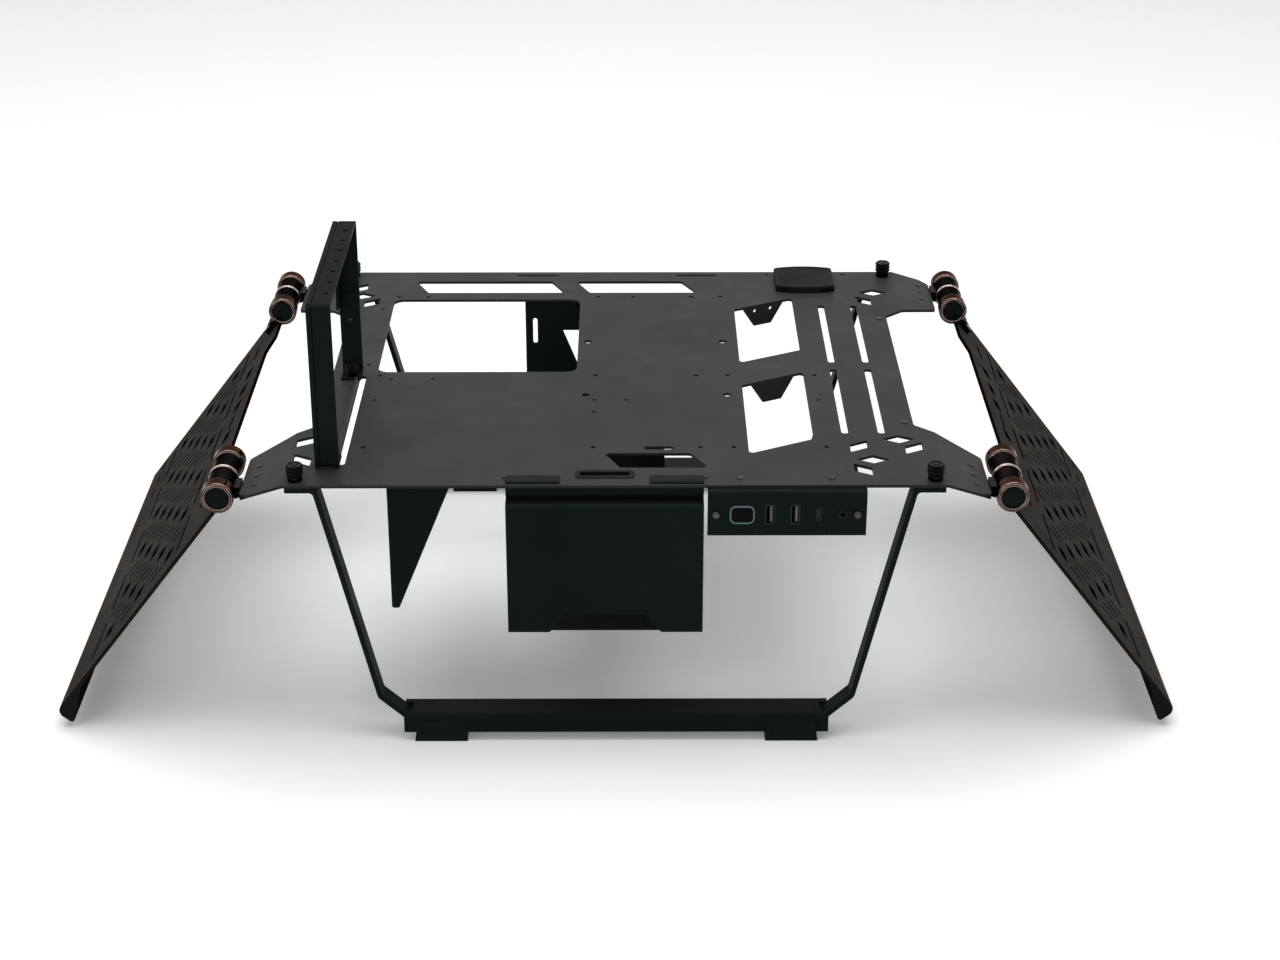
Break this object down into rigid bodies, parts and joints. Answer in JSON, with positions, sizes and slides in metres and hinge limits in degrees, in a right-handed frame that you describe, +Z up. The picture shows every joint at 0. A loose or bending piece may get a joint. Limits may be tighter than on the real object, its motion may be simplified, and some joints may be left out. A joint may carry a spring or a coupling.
{
  "type": "open air test bench",
  "caption": "Open bench for a computer board: flat drilled plate on bent-bar legs, with folding perforated side wings, a card stand, a supply cradle and a front port panel.",
  "frame": {"origin": "on the floor under the centre of the bench", "axes": "+X to the right seen from the port panel's side, +Y to the rear, +Z up"},
  "size_m": [0.7684, 0.419, 0.3035],
  "materials": {
    "plate_paint": "satin",
    "leg_paint": "satin",
    "wing_metal": "satin",
    "black_metal": "satin",
    "ring_metal": "polished",
    "pin_steel": "ground",
    "screw_black": "black oxide",
    "screw_bright": "plated",
    "rubber_black": "matte",
    "black_plastic": "matte",
    "light_plastic": "gloss",
    "port_steel": "satin",
    "board_laminate": "satin"
  },
  "bodies": {
    "bench": {"audio_jack": "black_plastic", "button_bezel": "light_plastic", "cable_grommet": "black_plastic", "cable_pad": "rubber_black", "fixed_end_rings": "ring_metal", "front_base_rail": "leg_paint", "front_hinge_discs": "black_metal", "front_left_fixed_knuckle": "black_metal", "front_left_foot": "rubber_black", "front_left_hinge_pin": "pin_steel", "front_leg_frame": "leg_paint", "front_right_fixed_knuckle": "black_metal", "front_right_foot": "rubber_black", "front_right_hinge_pin": "pin_steel", "hinge_arm_screws": "screw_bright", "hinge_washers": "ring_metal", "io_board": "board_laminate", "io_housing": "black_plastic", "io_panel": "leg_paint", "io_screws": "screw_black", "leg_thumbscrews": "black_metal", "main_plate": "plate_paint", "plate_screws": "screw_bright", "rear_base_rail": "leg_paint", "rear_dish_screws": "screw_black", "rear_hinge_dishes": "ring_metal", "rear_left_fixed_knuckle": "black_metal", "rear_left_foot": "rubber_black", "rear_left_hinge_pin": "pin_steel", "rear_leg_frame": "leg_paint", "rear_right_fixed_knuckle": "black_metal", "rear_right_foot": "rubber_black", "rear_right_hinge_pin": "pin_steel", "slot_stand": "plate_paint", "stand_rear_leg": "plate_paint", "stand_screw": "screw_black", "stand_strip": "plate_paint", "stand_thumbscrews": "black_metal", "supply_cradle": "leg_paint", "support_fin": "leg_paint", "usb_a_ports": "port_steel", "usb_c_port": "port_steel"},
    "left_leaf": {"left_wing": "wing_metal", "front_left_moving_knuckle": "black_metal", "rear_left_moving_knuckle": "black_metal", "left_wing_rings": "ring_metal", "left_wing_disc": "black_metal", "left_wing_dish": "ring_metal", "left_dish_screw": "screw_black", "left_wing_screws": "screw_black"},
    "right_leaf": {"right_wing": "wing_metal", "front_right_moving_knuckle": "black_metal", "rear_right_moving_knuckle": "black_metal", "right_wing_rings": "ring_metal", "right_wing_disc": "black_metal", "right_wing_dish": "ring_metal", "right_dish_screw": "screw_black", "right_wing_screws": "screw_black"},
    "button": {"power_button": "black_plastic"}
  },
  "joints": [
    {"name": "left_wing_hinge", "type": "hinge", "parent": "bench", "child": "left_leaf", "pos_m": [-0.2606, 0, 0.178], "axis": [0, 1, 0], "range_deg": [0, 90]},
    {"name": "right_wing_hinge", "type": "hinge", "parent": "bench", "child": "right_leaf", "pos_m": [0.2606, 0, 0.178], "axis": [0, -1, 0], "range_deg": [0, 90]},
    {"name": "power_button_press", "type": "slide", "parent": "bench", "child": "button", "axis": [0, 1, 0], "range_m": [0, 0.0015], "stiffness_N_per_m": 600}
  ]
}
